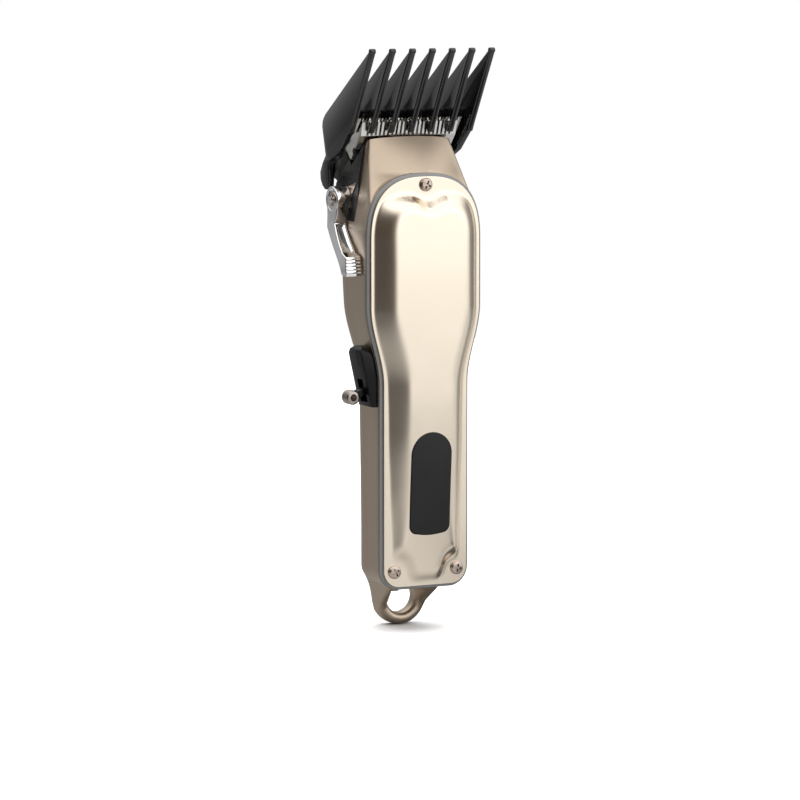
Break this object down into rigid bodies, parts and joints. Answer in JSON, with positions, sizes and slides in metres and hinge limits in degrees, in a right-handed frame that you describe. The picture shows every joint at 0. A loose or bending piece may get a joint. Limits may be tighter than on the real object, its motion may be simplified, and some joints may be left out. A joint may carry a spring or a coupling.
{
  "type": "cordless hair clipper",
  "caption": "Cordless hair clipper with a clip-on guide comb, taper lever, side power toggle and hanging loop.",
  "frame": {"origin": "centre of the hole in the hanging loop", "axes": "+Z along the body from the loop to the blades, +Y from the front cover to the back, +X to the right seen from the front"},
  "size_m": [0.0528, 0.0437, 0.2041],
  "materials": {
    "housing_paint": "satin",
    "cover_paint": "satin",
    "trim_grey": "satin",
    "screw_chrome": "polished",
    "window_black": "satin",
    "board_green": "satin",
    "led_clear": "gloss",
    "cell_wrap": "gloss",
    "strip_steel": "satin",
    "inner_plastic": "matte",
    "magnet_grey": "matte",
    "bush_brass": "machined",
    "winding_copper": "wound wire",
    "screw_steel": "machined",
    "blade_steel": "ground",
    "carrier_black": "satin",
    "spring_steel": "drawn wire",
    "lever_chrome": "polished",
    "switch_black": "semi-gloss",
    "knob_steel": "knurled",
    "lead_sleeve": "matte",
    "comb_black": "semi-gloss"
  },
  "bodies": {
    "chassis": {"housing": "housing_paint", "front_cover": "cover_paint", "seam_trim": "trim_grey", "cover_screws": "screw_chrome", "display_window": "window_black", "display_board": "board_green", "display_leds": "led_clear", "battery_cell": "cell_wrap", "battery_contacts": "strip_steel", "control_board": "board_green", "charging_socket": "strip_steel", "motor_can": "strip_steel", "motor_end_cap": "inner_plastic", "motor_magnets": "magnet_grey", "motor_bushes": "bush_brass", "motor_cradle": "inner_plastic", "cradle_screws": "screw_steel", "blade_carrier": "carrier_black", "carrier_screws": "screw_steel", "fixed_blade": "blade_steel", "blade_screws": "screw_steel", "detent_plate": "screw_chrome", "switch_base": "switch_black", "switch_screws": "screw_steel", "toggle_pin": "screw_steel", "power_switch": "inner_plastic", "motor_leads": "lead_sleeve", "battery_leads": "lead_sleeve"},
    "rotor": {"motor_shaft": "blade_steel", "motor_armature": "winding_copper", "eccentric_cam": "bush_brass"},
    "carriage": {"taper_carriage": "inner_plastic", "blade_spring": "spring_steel"},
    "cutter": {"cutter_blade": "blade_steel", "drive_arm": "inner_plastic"},
    "lever": {"taper_lever": "lever_chrome", "lever_screw": "screw_chrome"},
    "toggle": {"switch_toggle": "switch_black", "toggle_knob": "knob_steel"},
    "comb": {"guide_comb": "comb_black"}
  },
  "joints": [
    {"name": "rotor_spin", "type": "hinge", "parent": "chassis", "child": "rotor", "pos_m": [0, -0.005, 0.13], "axis": [0, 0, 1], "continuous": true},
    {"name": "taper_swing", "type": "hinge", "parent": "chassis", "child": "lever", "pos_m": [0, 0.0032, 0.1413], "axis": [1, 0, 0], "range_deg": [0, 40]},
    {"name": "carriage_slide", "type": "slide", "parent": "chassis", "child": "carriage", "axis": [0, 0.6691, -0.7431], "range_m": [0, 0.0015]},
    {"name": "cutter_slide", "type": "slide", "parent": "carriage", "child": "cutter", "axis": [1, 0, 0], "range_m": [-0.0012, 0.0012]},
    {"name": "toggle_flip", "type": "hinge", "parent": "chassis", "child": "toggle", "pos_m": [-0.0182, -0.013, 0.0765], "axis": [0, 1, 0], "range_deg": [0, 46]},
    {"name": "comb_off", "type": "slide", "parent": "chassis", "child": "comb", "axis": [0, -0.6691, 0.7431], "range_m": [0, 0.045]}
  ],
  "couplings": [
    {"joint": "taper_swing", "follows": "carriage_slide", "rad_per_m": 465.4}
  ]
}
